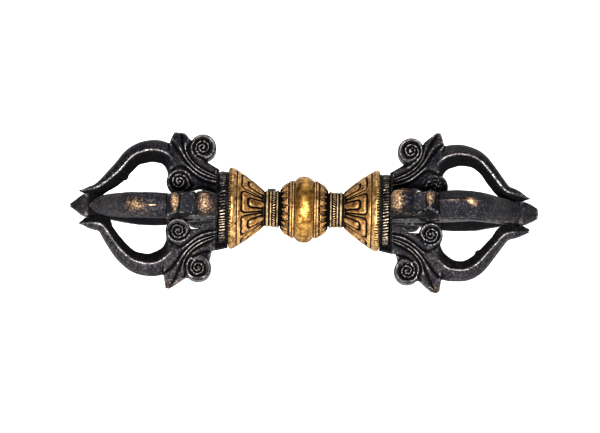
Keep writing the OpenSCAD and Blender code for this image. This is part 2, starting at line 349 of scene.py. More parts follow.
def multiply(tree, a, b):
    return math_node(tree, "MULTIPLY", a, b)


def add(tree, a, b):
    return math_node(tree, "ADD", a, b)


def subtract(tree, a, b):
    return math_node(tree, "SUBTRACT", a, b)


def highest(tree, a, b):
    return math_node(tree, "MAXIMUM", a, b)


def blend(tree, factor, a, b):
    """Mixes two colours or sockets by a factor."""
    n = tree.nodes.new("ShaderNodeMix")
    n.data_type = "RGBA"
    for socket, value in zip((n.inputs[6], n.inputs[7]), (a, b)):
        if isinstance(value, tuple):
            socket.default_value = (*value, 1)
        else:
            tree.links.new(value, socket)
    tree.links.new(factor, n.inputs[0])
    return n.outputs[2]


def attribute(tree, name):
    n = tree.nodes.new("ShaderNodeAttribute")
    n.attribute_name = name
    return n.outputs["Fac"]


def bumps(tree, shader, height, strength, distance):
    n = tree.nodes.new("ShaderNodeBump")
    n.inputs["Strength"].default_value = strength
    n.inputs["Distance"].default_value = distance
    tree.links.new(height, n.inputs["Height"])
    tree.links.new(n.outputs["Normal"], shader.inputs["Normal"])


def tint(colour, factor):
    return tuple(factor * c for c in colour)


# Materials

GILT_EDGE = (0.90, 0.71, 0.40)
# Near-black dirt for the gilt's grooves and pits, also used for painted shade
GILT_SOIL_AND_SHADE = (0.0022, 0.0016, 0.0014)
PATINA_BLACK = (0.0044, 0.0050, 0.0092)
PATINA_BROWN = (0.0186, 0.0158, 0.0160)
HANDLED_GREY = (0.076, 0.066, 0.066)
SPARK_GREY = (0.16, 0.15, 0.155)
GLINT_GREY = (0.78, 0.73, 0.69)
# Near-black for the patina in the hollows, also used for painted shade
BRONZE_SOIL_AND_SHADE = (0.0006, 0.0006, 0.001)
IRON_DARK = (0.004, 0.004, 0.005)
IRON_RUST = (0.014, 0.010, 0.008)
BUMP_HEIGHT = 0.4 * MM


def gilt_material(name, dark, light):
    """Worn gilding: mottled yellow brass, bright on the edges (partly worn gilding, partly a painted
    highlight) and in pale flecks, with dark dirt in the grooves and pits, and painted shade on the lower
    side and in the bore.
    """
    material, tree, shader = node_material(name)
    coords = object_coords(tree)
    cloudy = noise(tree, coords, 650, 8, 0.7)
    fine = noise(tree, coords, 2100, 4, 0.75)
    crease = attribute(tree, "crease")
    colour = blend(tree, spread(tree, cloudy, 0.38, 0.62), dark, light)
    flecks = multiply(tree, spread(tree, fine, 0.43, 0.31), 0.35)
    # Brighter on the edges: partly worn gilding, partly a painted highlight
    bright = highest(tree, spread(tree, crease, 0.25, 0.95), flecks)
    colour = blend(tree, bright, colour, GILT_EDGE)
    pits = multiply(tree, spread(tree, fine, 0.54, 0.66), 0.85)
    # Dark dirt in the grooves and pits, with the painted shade that the turned rings carry toward the bottom
    # and in the bore
    soil_and_shade = highest(tree, attribute(tree, "grime_and_shade"), spread(tree, crease, -0.06, -0.32))
    soil_and_shade = highest(tree, soil_and_shade, pits)
    colour = blend(tree, soil_and_shade, colour, GILT_SOIL_AND_SHADE)
    tree.links.new(colour, shader.inputs["Base Color"])
    tree.links.new(ramp(tree, soil_and_shade, 0.95, 0.0), shader.inputs["Metallic"])
    rough = add(tree, ramp(tree, cloudy, 0.32, 0.54), multiply(tree, soil_and_shade, 0.45))
    tree.links.new(rough, shader.inputs["Roughness"])
    shader.inputs["Specular IOR Level"].default_value = 0.12
    lumps = add(tree, multiply(tree, fine, 0.5), multiply(tree, cloudy, 0.5))
    bumps(tree, shader, lumps, 0.6, BUMP_HEIGHT)
    return material


def patina(tree, tone, cloudy, grain, speck):
    """Near-black patina, grey where it is handled, with pale specks painted as sparkle highlights and pale
    flakes.
    """
    clouds = spread(tree, cloudy, 0.38, 0.68)
    colour = blend(tree, clouds, tint(PATINA_BLACK, tone), tint(PATINA_BROWN, tone))
    handled = multiply(tree, attribute(tree, "wear"), spread(tree, grain, 0.38, 0.62))
    colour = blend(tree, handled, colour, HANDLED_GREY)
    # Painted sparkle highlights in fine specks; the flakes are paler patina
    sparks = multiply(tree, spread(tree, speck, 0.58, 0.70), 0.3)
    flakes = multiply(tree, spread(tree, grain, 0.53, 0.64), 0.38)
    return blend(tree, highest(tree, sparks, flakes), colour, SPARK_GREY)


def broken(tree, ridge, glint, grain, speck):
    """Breaks up the painted highlights on the ridges, so that they catch the light in places only."""
    ridge = multiply(tree, ridge, spread(tree, speck, 0.33, 0.50))
    ridge = multiply(tree, ridge, ramp(tree, spread(tree, glint, 0.40, 0.58), 0.4, 1.0))
    return multiply(tree, ridge, ramp(tree, spread(tree, grain, 0.42, 0.56), 0.3, 1.0))


def rubbing_and_highlight(tree, cloudy, grain, speck):
    """How far the patina is worn through, in grains, together with the painted highlight line of the marks.
    """
    rub_and_highlight_level = multiply(tree, attribute(tree, "rub_and_highlight"), 0.55)
    for pattern, share in ((cloudy, 0.14), (grain, 0.24), (speck, 0.12)):
        rub_and_highlight_level = add(tree, rub_and_highlight_level, multiply(tree, stretch(tree, pattern, 0.36, 0.64), share))
    return rub_and_highlight_level


def bronze_material(name, worn, tone, gloss):
    """Cast bronze under a dark patina, worn through first to brown and then to the worn colour, which also
    paints a highlight line on the front blades; with painted highlights on its edges and ridges and painted
    shade in its creases.
    """
    material, tree, shader = node_material(name)
    coords = object_coords(tree)
    cloudy = noise(tree, coords, 180, 6, 0.6)
    grain = noise(tree, coords, 1300, 6, 0.75)
    speck = noise(tree, coords, 2600, 3, 0.6)
    glint = noise(tree, coords, 420, 3, 0.6)
    crease = attribute(tree, "crease")
    # Painted highlights in pale grey on the edges and on the marked ridges, where the metal also shows
    ridge = multiply(tree, spread(tree, crease, 0.2, 0.85), 0.6)
    ridge = highest(tree, ridge, attribute(tree, "ridge"))
    edge = broken(tree, ridge, glint, grain, speck)
    rub_and_highlight_level = rubbing_and_highlight(tree, cloudy, grain, speck)
    bare_and_highlit = spread(tree, rub_and_highlight_level, 0.60, 0.84)
    # Dark patina in the grooves, with painted shade in the creases, on the inner faces of the bows, at the
    # seats, under the front heads, where the prongs meet and in the gaps of the ridged ring
    soil_and_shade = highest(tree, attribute(tree, "soil_and_shade"), spread(tree, crease, -0.08, -0.42))
    colour = patina(tree, tone, cloudy, grain, speck)
    colour = blend(tree, edge, colour, GLINT_GREY)
    colour = blend(tree, spread(tree, rub_and_highlight_level, 0.49, 0.60), colour, tint(worn, 0.19))
    colour = blend(tree, bare_and_highlit, colour, worn)
    colour = blend(tree, soil_and_shade, colour, BRONZE_SOIL_AND_SHADE)
    tree.links.new(colour, shader.inputs["Base Color"])
    metal = subtract(tree, highest(tree, bare_and_highlit, edge), soil_and_shade)
    tree.links.new(ramp(tree, metal, 0.0, 0.9), shader.inputs["Metallic"])
    rough = add(tree, ramp(tree, grain, 0.24, 0.5), multiply(tree, soil_and_shade, 0.45))
    rough = subtract(tree, rough, multiply(tree, ridge, 0.14))
    tree.links.new(rough, shader.inputs["Roughness"])
    shader.inputs["Specular IOR Level"].default_value = gloss
    lumps = add(tree, multiply(tree, grain, 0.6), multiply(tree, speck, 0.3))
    bumps(tree, shader, lumps, 0.9, BUMP_HEIGHT)
    return material


def iron_material():
    """Dull iron with brown rust in patches."""
    material, tree, shader = node_material("dull_iron")
    cloudy = noise(tree, object_coords(tree), 900, 6, 0.65)
    colour = blend(tree, spread(tree, cloudy, 0.4, 0.65), IRON_DARK, IRON_RUST)
    tree.links.new(colour, shader.inputs["Base Color"])
    tree.links.new(ramp(tree, cloudy, 0.2, 0.5), shader.inputs["Roughness"])
    shader.inputs["Metallic"].default_value = 0.0
    shader.inputs["Specular IOR Level"].default_value = 0.2
    bumps(tree, shader, cloudy, 0.4, 0.3 * MM)
    return material


GILT = gilt_material("gilt_brass_worn", (0.23, 0.115, 0.046), (0.66, 0.42, 0.185))
GILT_BALL = gilt_material("gilt_brass_ball", (0.17, 0.084, 0.024), (0.46, 0.288, 0.093))
GILT_NECK = gilt_material("gilt_brass_rings", (0.30, 0.19, 0.105), (0.80, 0.60, 0.36))
GILT_RIM = gilt_material("gilt_brass_rim", (0.20, 0.107, 0.043), (0.62, 0.42, 0.20))
BRONZE = bronze_material("dark_bronze_patina", (0.66, 0.44, 0.28), 1.0, 0.14)
RIDGED = bronze_material("dark_bronze_gilt_ridges", (0.48, 0.40, 0.295), 0.6, 0.1)
# A darker copy of the patina for the moon discs: painted shade between the ridged ring and the heads
SHADED_BRONZE = bronze_material("dark_bronze_shaded", (0.62, 0.43, 0.25), 0.5, 0.08)
IRON = iron_material()


# Turned pieces of the hub

TURNED_STEP = 0.09
TURNED_COLUMNS, RIM_COLUMNS, RIDGE_COLUMNS = 720, 960, 1100
TURNED_CREASE = 0.1
# How dark the bore is painted: painted shade inside it
HOLE_SHADE = 0.6
# Angles from the back (+Y) upward: the side that faces the camera, and the middle of a petal
FRONT = math.radians(141.5)
PETAL_PHASE = math.radians(129)
PETALS = 8


def underside_shade(theta):
    """Painted shade: darker toward the bottom of each ring."""
    return 0.5 * smoothstep(3.2, 4.0, theta) * smoothstep(6.1, 5.4, theta)


def turned(node, look, side, outer, hole, relief, material, columns=TURNED_COLUMNS):
    """A ring turned about the axis: outer and hole are (u, r) profiles, relief gives height and the dirt in
    the grooves.
    """
    step = TURNED_STEP
    rim = resample(outer, step)
    slope = np.gradient(rim, axis=0)
    slope /= np.linalg.norm(slope, axis=1)[:, None]
    theta, u = np.meshgrid(np.arange(columns) * FULL_TURN / columns, rim[:, 0])
    r = np.repeat(rim[:, 1:], columns, 1)
    height, grime_and_shade = relief(theta, u, r)
    # The relief runs out at both ends
    row = np.arange(len(rim))
    height = height * np.minimum(1, np.minimum(row, row[::-1]) / 2)[:, None]
    u = u - height * slope[:, 1:]
    r = r + height * slope[:, :1]
    inner = np.repeat(np.array(hole)[..., None], columns, 2)
    u = np.concatenate([u, inner[:, 0]])
    r = np.concatenate([r, inner[:, 1]])
    # Painted shade: darker toward the bottom of the ring, and inside the bore
    grime_and_shade = np.maximum(grime_and_shade, underside_shade(theta))
    grime_and_shade = np.concatenate([grime_and_shade, np.full((len(hole), columns), HOLE_SHADE)])
    theta = np.broadcast_to(theta[0], u.shape)
    points = np.stack([u, r * np.cos(theta), r * np.sin(theta)], 2).reshape(-1, 3)
    faces = grid_quads(*u.shape, closed=True)
    marks = {"grime_and_shade": grime_and_shade.ravel()}
    return add_piece(node, look, side, points, faces, material, marks, TURNED_CREASE)


def lumps_on(theta, u, r, seed, size, count=10):
    """Lumps over a turned face."""
    return waves(u, r * np.cos(theta), r * np.sin(theta), seed, size, count)


def angle_in(theta, count, phase):
    """Angle from the middle of the nearest of a ring of repeats, in radians."""
    cell = FULL_TURN / count
    return (theta - phase + cell / 2) % cell - cell / 2


def hub_ball():
    def relief(theta, u, r):
        return 0.05 * lumps_on(theta, u, r, 7, 4.0), bump(np.abs(u) - BALL_END, 0.22)

    outer = [(BALL_END * x, 10.6 - 1.55 * abs(x) ** 2.6) for x in np.linspace(-1, 1, 41)]
    hole = [(BALL_END, BORE_R), (-BALL_END, BORE_R)]
    turned("hub_ball", "worn", 1, outer, hole, relief, GILT_BALL)


def inner_lotus(side_name, side):
    petals = 20
    strokes = 2 * petals
    reach = np.random.default_rng(61 + side).uniform(1.5, 3.0, strokes)

    def relief(theta, u, r):
        x = angle_in(theta, petals, FRONT) * r
        cell = math.pi * r / petals
        edge = rounded_corner(np.abs(x) - cell + 0.12, 5.1 - u, 0.5)
        on = smoothstep(4.75, 5.0, u)
        lines = bump(edge, 0.17) * on
        # Short wedge strokes that open toward the neck
        turn = (theta - FRONT) / FULL_TURN * strokes
        length = reach[np.floor(turn).astype(int) % strokes]
        across = np.abs(turn % 1 - 0.5) * FULL_TURN * r / strokes
        wide = 0.42 * np.clip((u - INNER_END + length) / length, 0, 1)
        wedge = smoothstep(0.12, -0.08, across - wide) * smoothstep(0.02, 0.15, wide)
        oval = bump(np.hypot(x / (0.62 * cell), (u - 6.5) / 0.85) - 1, 0.22) * on
        height = (-0.2 * lines - 0.15 * oval + 0.1 * smoothstep(0, -0.6, edge)) * on - 0.35 * wedge
        lines = np.maximum(lines, 0.6 * oval)
        foot = bump(u - INNER_END, 0.55)
        lip = bump(u - 3.9, 0.2) + bump(u - 4.8, 0.25) + 1.3 * bump(u - BALL_END, 0.25)
        return height, np.clip(lines + wedge + foot + lip, 0, 1)

    lips = [
        (BALL_END, 8.3), (3.08, 8.9), (3.35, 9.25), (3.65, 9.25),
        (3.88, 9.0), (4.1, 9.2), (4.4, 9.15), (4.68, 8.75),
    ]
    bowl = [(5.3, 8.45), (6.0, 7.95), (6.7, 7.35), (7.2, 6.8), (7.55, 6.2), (INNER_END, 5.8)]
    hole = [(INNER_END, BORE_R), (BALL_END, BORE_R)]
    turned(f"{side_name}_inner_lotus", "petals", side, lips + bowl, hole, relief, GILT)


def neck_collar(side_name, side):
    # The left neck is the thicker one
    grow = 0.09 if side_name == "left" else -0.06
    gaps = [(7.95, 0.52), (9.0, 0.26), (10.24, 0.26), (11.18, 0.34), (12.62, 0.62)]

    def relief(theta, u, r):
        rope = smoothstep(9.0, 9.15, u) * smoothstep(10.25, 10.1, u)
        # The strands lean away from the middle of the front and of the back
        lean = np.tanh(4 * np.sin(theta - FRONT))
        twist = np.cos(42 * theta + 5 * (u - 9.6) * lean)
        dents = 0.03 * lumps_on(theta, 2 * u, r, 23 + side, 3.0)
        lines = smoothstep(0.65, -0.1, twist) * rope
        dark = sum(bump(u - at, wide) for at, wide in gaps)
        return 0.14 * twist * rope + dents, np.clip(lines + 1.5 * dark, 0, 1)

    bead = [(INNER_END, 5.3), (8.0, 5.5), (8.22, 5.78), (8.5, 5.94), (8.75, 5.86), (8.95, 5.5)]
    strands = [(9.2, 5.52), (9.65, 5.6), (10.1, 5.52), (10.3, 5.4)]
    twin = [(10.45, 5.62), (10.7, 5.74), (10.95, 5.62), (11.1, 5.4), (11.25, 5.4), (11.4, 5.66)]
    end = [(11.72, 5.88), (12.05, 5.7), (12.3, 5.42), (NECK_END, 5.35)]
    outer = [(u, r + grow) for u, r in bead + strands + twin + end]
    hole = [(NECK_END, BORE_R), (INNER_END, BORE_R)]
    turned(f"{side_name}_neck_collar", "rope", side, outer, hole, relief, GILT_NECK)


def lotus_cup(side_name, side):
    petal_end, tongue_end = 19.8, 17.75

    def relief(theta, u, r):
        x = angle_in(theta, PETALS, PETAL_PHASE) * r
        wobble = 0.16 * lumps_on(theta, u, r, 51 + side, 2.4)
        along = u - NECK_END
        half = math.pi * r / PETALS - 0.2 - 0.055 * along
        petal = rounded_corner(np.abs(x) - half, u - petal_end + 0.5 * wobble, 1.3)
        wide = 1.12 + 0.10 * along
        tongue = rounded_corner(np.abs(x + 0.3 * wobble) - wide, u - tongue_end, 1.1)
        lines = np.maximum(bump(petal, 0.36), bump(tongue, 0.42)) * smoothstep(0.05, 0.4, along)
        height = -0.5 * lines + 0.16 * smoothstep(0, -0.9, tongue) + 0.1 * smoothstep(0, -1.2, petal)
        height = height - 0.3 * bump(u - CUP_END + 0.1, 0.16)
        foot = bump(along - 0.1, 0.5)
        mouth = 1.3 * bump(u - CUP_END, 0.26)
        return height, np.clip(lines * 1.7 - 0.15 + foot + mouth, 0, 1)

    outer = [
        (NECK_END, 5.3), (NECK_END + 0.5, 5.95), (14.4, 6.9), (16.3, 8.5),
        (18.2, 9.95), (20.1, 11.45), (21.1, 12.1), (CUP_END, 12.15),
    ]
    socket = CUP_END - SPIGOT_SOCKET
    hole = [(CUP_END, SPIGOT_R), (socket, SPIGOT_R), (socket, BORE_R), (NECK_END, BORE_R)]
    turned(f"{side_name}_lotus_cup", "petals", side, outer, hole, relief, GILT)


def rim_band(side_name, side):
    teeth = 84
    # The teeth reach farther across the right band, most of all where it faces down
    teeth_from = 22.95 if side_name == "right" else 23.1
    reach_below = 0.9 if side_name == "right" else 0.0

    def relief(theta, u, r):
        notch = (0.5 + 0.5 * np.cos(teeth * theta + 2.0 * np.sin(3 * theta))) ** 1.5
        low = reach_below * smoothstep(2.7, 3.0, theta)
        notch = notch * smoothstep(0.0, 0.5, u - teeth_from + low)
        lumps = lumps_on(theta, u, r, 11 + side, 2.2)
        pits = smoothstep(1.0, 1.6, lumps_on(theta, u, r, 13 + side, 1.3, 24))
        seams = bump(u - RIM_END, 0.15) + 1.4 * bump(u - CUP_END, 0.3)
        grime_and_shade = 1.15 * notch + 0.7 * pits - 0.1 + seams
        return 0.05 * lumps - 0.32 * notch - 0.1 * pits, np.clip(grime_and_shade, 0, 1)

    outer = [
        (CUP_END, 11.9), (CUP_END + 0.2, 12.3), (22.3, 12.75), (22.8, 13.0),
        (23.2, 13.05), (23.7, 12.9), (24.05, 12.5), (RIM_END, 11.9),
    ]
    hole = [(RIM_END, SPIGOT_R), (CUP_END, SPIGOT_R)]
    turned(f"{side_name}_rim_band", "milled", side, outer, hole, relief, GILT_RIM, columns=RIM_COLUMNS)


RIDGES = 72
RIDGE_R = 11.5
RIDGES_FROM = 24.95
RIDGES_TO = SEAT - FLANGE_L


def pearl_band(side_name, side):
    def relief(theta, u, r):
        wander = 1.6 * np.sin(5 * theta + side) + 1.1 * np.sin(11 * theta)
        turn = RIDGES * theta + wander + 1.1 * (u - 26.2) * side
        size = 0.75 + 0.25 * np.sin(23 * theta + side) + 0.3 * lumps_on(theta, u, r, 73 + side, 2.4)
        on = smoothstep(RIDGES_FROM, RIDGES_FROM + 0.3, u) * smoothstep(RIDGES_TO - 0.3, RIDGES_TO - 0.6, u)
        crest = smoothstep(-0.7, 0.5, np.cos(turn))
        return 0.45 * np.clip(size, 0.3, 1.1) * (crest - 0.5) * on, np.zeros_like(u)

    outer = [
        (RIM_END, 11.3), (24.3, 11.6), (24.85, 11.62), (RIDGES_FROM, 11.4), (RIDGES_FROM + 0.25, RIDGE_R),
        (26.0, 11.55), (26.7, 11.5), (27.2, 11.35), (RIDGES_TO, 10.9),
    ]
    hole = [(RIDGES_TO, BARREL_R), (RIM_END, BARREL_R)]
    node = f"{side_name}_pearl_band"
    piece = turned(node, "ridged", side, outer, hole, relief, RIDGED, RIDGE_COLUMNS)
    store_marks(piece.data, ridge_marks(piece.data, side))


def ridge_marks(mesh, side):
    """Rubbed crests of the ridged ring, and its gaps and plain strip darkened: dark patina with painted
    shade.
    """
    co = np.empty(len(mesh.vertices) * 3, np.float32)
    mesh.vertices.foreach_get("co", co)
    x, y, z = (co.reshape(-1, 3) / MM).T
    r = np.hypot(y, z - AXIS_H)
    # The crests are brighter on the front of the band, from the middle down
    theta = np.arctan2(z - AXIS_H, y) % FULL_TURN
    front = smoothstep(2.40, 2.62, theta) * smoothstep(3.46, 3.36, theta)
    worn = (0.6 + 0.5 * front) * (0.95 + 0.3 * waves(x, y, z, 71 + side, 2.5))
    plain = smoothstep(RIDGES_FROM + 0.1, RIDGES_FROM - 0.1, np.abs(x))
    return {
        "rub_and_highlight": smoothstep(RIDGE_R, RIDGE_R + 0.16, r) * (1 - plain) * np.clip(worn, 0, 1),
        # Dark patina and painted shade in the gaps between the crests and on the plain strip
        "soil_and_shade": np.maximum(smoothstep(RIDGE_R - 0.02, RIDGE_R - 0.16, r), 0.4 * plain),
    }


# Side prongs

CAST_CREASE = 0.09
GRID_STEP = 0.18
GRID_LOW = (-4.4, 2.4, -5.2)
GRID_HIGH = (44.6, 27.2, 5.2)
OUTSIDE = 1.0
SCROLL_A, SCROLL_A_R = (4.5, 19.0), 4.2
SCROLL_B, SCROLL_B_R = (11.9, 7.9), 4.0
SCROLL_PITCH = 1.1
PEARL_CREST = 11.95
# Room that a side prong leaves to its neighbours, and how far it may pass the CAD box
CORE_GAP, RING_GAP, RIM_GAP, QUARTER_GAP = 0.08, 0.1, 0.05, 0.15
HORN_OVER = 0.6
# A bow's middle line starts in the head, has its distance from the axis given at LINE_AT and ends at its tip
BOW_START = [(12.2, 9.6), (12.8, 12.2), (14.0, 14.8), (15.8, 16.7)]
LINE_AT = (18, 21, 24, 27, 30, 33, 36, 39)
# Where the thickness of a bow is given
THICK_AT = (11, 14, 18, 21, 24, 27, 30, 33, 36, 39, 42, 44)
# How far the inner side of a bow reaches toward the central prong, as a multiple of half its thickness
INNER_REACH = ((30, 36, 41), (1, 1.3, 2.2))
FULL_WIDTH = ((11, 16, 20.8, 28, 34, 38, 41, 43.4), (3.3, 4.0, 4.1, 3.95, 3.5, 3.0, 2.1, 0.5))
TONGUE_WIDTH = (
    (11, 16, 20.8, 28, 33.8, 35.2, 36.6, 38.0, 39.2, 40.1),
    (3.3, 4.0, 4.1, 4.0, 3.65, 3.3, 2.9, 2.3, 1.5, 0.4),
)
BLUNT_WIDTH = ((11, 16, 20.8, 28, 33.8, 36.6, 39.2, 40.1), (3.7, 4.4, 4.5, 4.2, 3.8, 3.5, 2.8, 2.2))
REAR_FILL = [((8.0, 19.0), (10.4, 20.0), 1.5)]
# Lower front prongs have a foot that lies over the ridged ring
FOOT = ((0.5, 12.3), (-3.8, 11.9), 1.25, 0.7)
FRONT_HORN = [
    (2.8, 17), (-2.8, 17), (-2.0, 20.4), (-1.0, 22.8),
    (-0.2, 23.4), (0.3, 23.4), (1.1, 22.8), (2.4, 20.2),
]


def front_horn(tip):
    return [(tip + u, v) for u, v in FRONT_HORN]


PLAIN_BOW = {
    "line": (17.8, 18.4, 18.2, 17.0, 14.0, 10.4, 7.4),
    "tip": (39.8, 4.5),
    "thick": (6.0, 6.4, 7.2, 6.6, 6.6, 5.9, 5.4, 5.0, 4.0, 1.7, 1.5, 1.5),
}
BOTTOM_BACK = {
    **PLAIN_BOW,
    "horn": [(15, 17), (8.8, 17), (9.8, 21.6), (14.0, 25.2), (14.8, 25.2), (16.2, 21.3)],
    "fill": REAR_FILL,
}
TOP_FRONT = {
    **PLAIN_BOW,
    "fill": [((5.5, 20.2), (10.4, 20.6), 1.7)],
    "seat_shade_shift": 1.0,
    "ridge_highlight": 0.0,
    "inner_shade": 0.0,
    "under": 0.65,
    "taper": 0.5,
    "rub_and_highlight": 0.56,
    "round": 3.2,
    "blunt": 1.0,
}
# A patch has its place and size along u, its place and size across w, its strength and its slant.
# A bead has its place in u, v and w, its radius, its stretch across w and how softly it joins.
PRONGS = {
    "left_prong_top_back": {
        "seed": 1,
        "line": (17.7, 18.0, 17.3, 15.9, 12.3, 9.3, 6.9, 5.3),
        "tip": (44.0, 4.7),
        "thick": (6.0, 6.4, 7.4, 7.1, 7.1, 6.3, 6.0, 5.4, 4.0, 2.8, 1.5, 0.7),
        "horn": [(15.4, 17), (8.0, 17), (8.4, 21.2), (10.4, 23.7), (13.8, 23.9), (15.0, 21.2)],
        "fill": [
            ((6.5, 18.5), (9.4, 19.8), 1.7),
            ((3.5, 8.5), (6.5, 8.5), 2.3),
            ((6.5, 8.4), (9.5, 7.4), 2.4),
        ],
        "beads": [(29.2, 9.3, 0.0, 0.9, 1.0, 0.5)],
    },
    "left_prong_bottom_front": {
        "seed": 2,
        "line": (18.2, 18.8, 18.4, 17.2, 14.5, 10.8, 6.7, 5.9),
        "tip": (44.0, 5.9),
        "thick": (6.0, 6.6, 8.0, 7.3, 7.1, 6.1, 5.7, 5.0, 3.9, 3.9, 2.2, 0.9),
        "horn": [(16.2, 17), (8.5, 17), (9.5, 22.8), (12.8, 25.3), (14.4, 26.4), (15.6, 26.2), (16.2, 22.0)],
        "fill": [((7.0, 20.0), (10.0, 21.2), 1.7), ((2.6, 12.5), (3.6, 16.5), 1.9), FOOT],
        "scroll_a": (5.3, 19.7),
        "haze": 0.34,
        "inner": ((30, 33, 35, 36.5, 41), (1, 1.0, 1.2, 2.0, 2.4)),
    },
    "left_prong_top_front": {
        **TOP_FRONT,
        "seed": 3,
        "wide": TONGUE_WIDTH,
        "horn": front_horn(12.6),
        "beads": [(12.6, 23.3, -1.4, 1.35, 1.9, 0.4)],
        "roof": 1.9,
        "brow": (3.0, 4.0, 0.61),
        "lean": -0.8,
        "wear": 0.4,
        "patch": (25.5, 5.2, -0.3, 3.0, 0.66, 0.0),
        "highlight_streak": (19.8, 1.5, 0.0, 0.3),
        "scroll_a": (3.3, 19.0),
        "turn": -5.0,
    },
    "left_prong_bottom_back": {**BOTTOM_BACK, "seed": 4},
    "right_prong_top_back": {
        "seed": 5,
        "line": (17.9, 18.5, 18.2, 17.1, 14.4, 10.6, 7.1, 6.2),
        "tip": (44.1, 4.9),
        "thick": (6.0, 6.6, 7.6, 6.9, 6.6, 5.9, 5.3, 4.8, 4.3, 3.8, 2.0, 0.8),
        "horn": [(15, 17), (8.8, 17), (9.8, 22.0), (13.8, 25.3), (15.2, 25.2), (16.3, 21.3)],
        "fill": REAR_FILL,
        "scroll_a": (5.7, 19.1),
        "scroll_b": (13.4, 7.6),
        "radius_b": 4.3,
        "filled": 0.45,
        "blunt": 0.3,
    },
    "right_prong_bottom_front": {
        "seed": 6,
        "line": (18.4, 18.9, 18.7, 17.1, 14.0, 10.4, 7.1, 6.3),
        "tip": (44.2, 5.7),
        "thick": (6.0, 6.6, 7.4, 6.6, 6.5, 6.3, 5.4, 4.8, 4.0, 3.7, 2.4, 1.1),
        "horn": [(15.9, 17), (8.0, 17), (9.1, 22.4), (12.9, 25.8), (14.7, 26.2), (15.6, 25.4), (16.0, 21.8)],
        "fill": [((7.0, 19.5), (9.3, 20.6), 1.7), ((3.0, 12.6), (4.2, 16.8), 1.9), FOOT],
        "scroll_a": (5.1, 19.4),
        "scroll_b": (12.5, 7.6),
        "radius_b": 3.8,
        "beads": [(27.7, 12.9, 0.0, 0.9, 1.0, 0.5)],
        "haze": 0.22,
        "ridge_highlight": 0.6,
        "inner_shade": 0.5,
        "inner": ((30, 34, 36, 41), (1, 1.1, 1.6, 2.3)),
        "blunt": 0.6,
    },
    "right_prong_top_front": {
        **TOP_FRONT,
        "seed": 7,
        "wide": BLUNT_WIDTH,
        "horn": front_horn(11.65),
        "beads": [(11.65, 23.3, -1.35, 1.35, 1.9, 0.4)],
        "waist": (8.6, 0.5),
        "roof": 1.3,
        "ridge": -0.85,
        "brow": (0.8, 4.4, 0.73),
        "lean": -0.3,
        "wear": 0.12,
        "patch": (24.7, 2.2, -0.55, 1.5, 0.95, 0.42),
        "highlight_streak": (19.2, 3.6, -0.85, 0.22),
        "scroll_a": (3.2, 19.0),
        "turn": 2.0,
    },
    "right_prong_bottom_back": {**BOTTOM_BACK, "seed": 8},
}


def across_head(v, w, angle):
    """Radius v and sideways w of a prong at an angle, as Y and Z from the axis."""
    ny, nz = -math.cos(angle), math.sin(angle)
    return v * ny - w * nz, v * nz + w * ny


def spiral(centre, start, radius, turns, direction):
    """A spiral that winds inward."""
    a = np.linspace(0, turns * FULL_TURN, int(90 * turns))
    r = radius - SCROLL_PITCH * a / FULL_TURN
    around = start + direction * a
    return np.stack([centre[0] + r * np.cos(around), centre[1] + r * np.sin(around)], 1)


def distance_to(curve, u, v):
    out = np.full(u.shape, FAR)
    for x, y in curve:
        np.minimum(out, (u - x) ** 2 + (v - y) ** 2, out=out)
    return np.sqrt(out)


def nearest_on(line, u, v):
    """Index of the point of a line that lies nearest to each place."""
    nearest = np.zeros(u.shape, int)
    best = np.full(u.shape, FAR)
    for i, (x, y) in enumerate(line):
        d = (u - x) ** 2 + (v - y) ** 2
        closer = d < best
        best[closer] = d[closer]
        nearest[closer] = i
    return nearest


def capsule(u, v, a, b, ra, rb=None):
    """Signed distance to a rod with round ends from a to b, which tapers if given a second radius."""
    rb = ra if rb is None else rb
    d = np.subtract(b, a)
    t = np.clip(((u - a[0]) * d[0] + (v - a[1]) * d[1]) / (d @ d), 0, 1)
    return np.hypot(u - a[0] - t * d[0], v - a[1] - t * d[1]) - (ra + t * (rb - ra))


def half_planes(u, v, corners):
    """Signed distance to a convex outline whose corners run clockwise."""
    out = np.full(u.shape, -FAR)
    for (x0, y0), (x1, y1) in zip(corners, corners[1:] + corners[:1]):
        length = math.hypot(x1 - x0, y1 - y0)
        out = np.maximum(out, ((u - x0) * (y0 - y1) + (v - y0) * (x1 - x0)) / length)
    return out


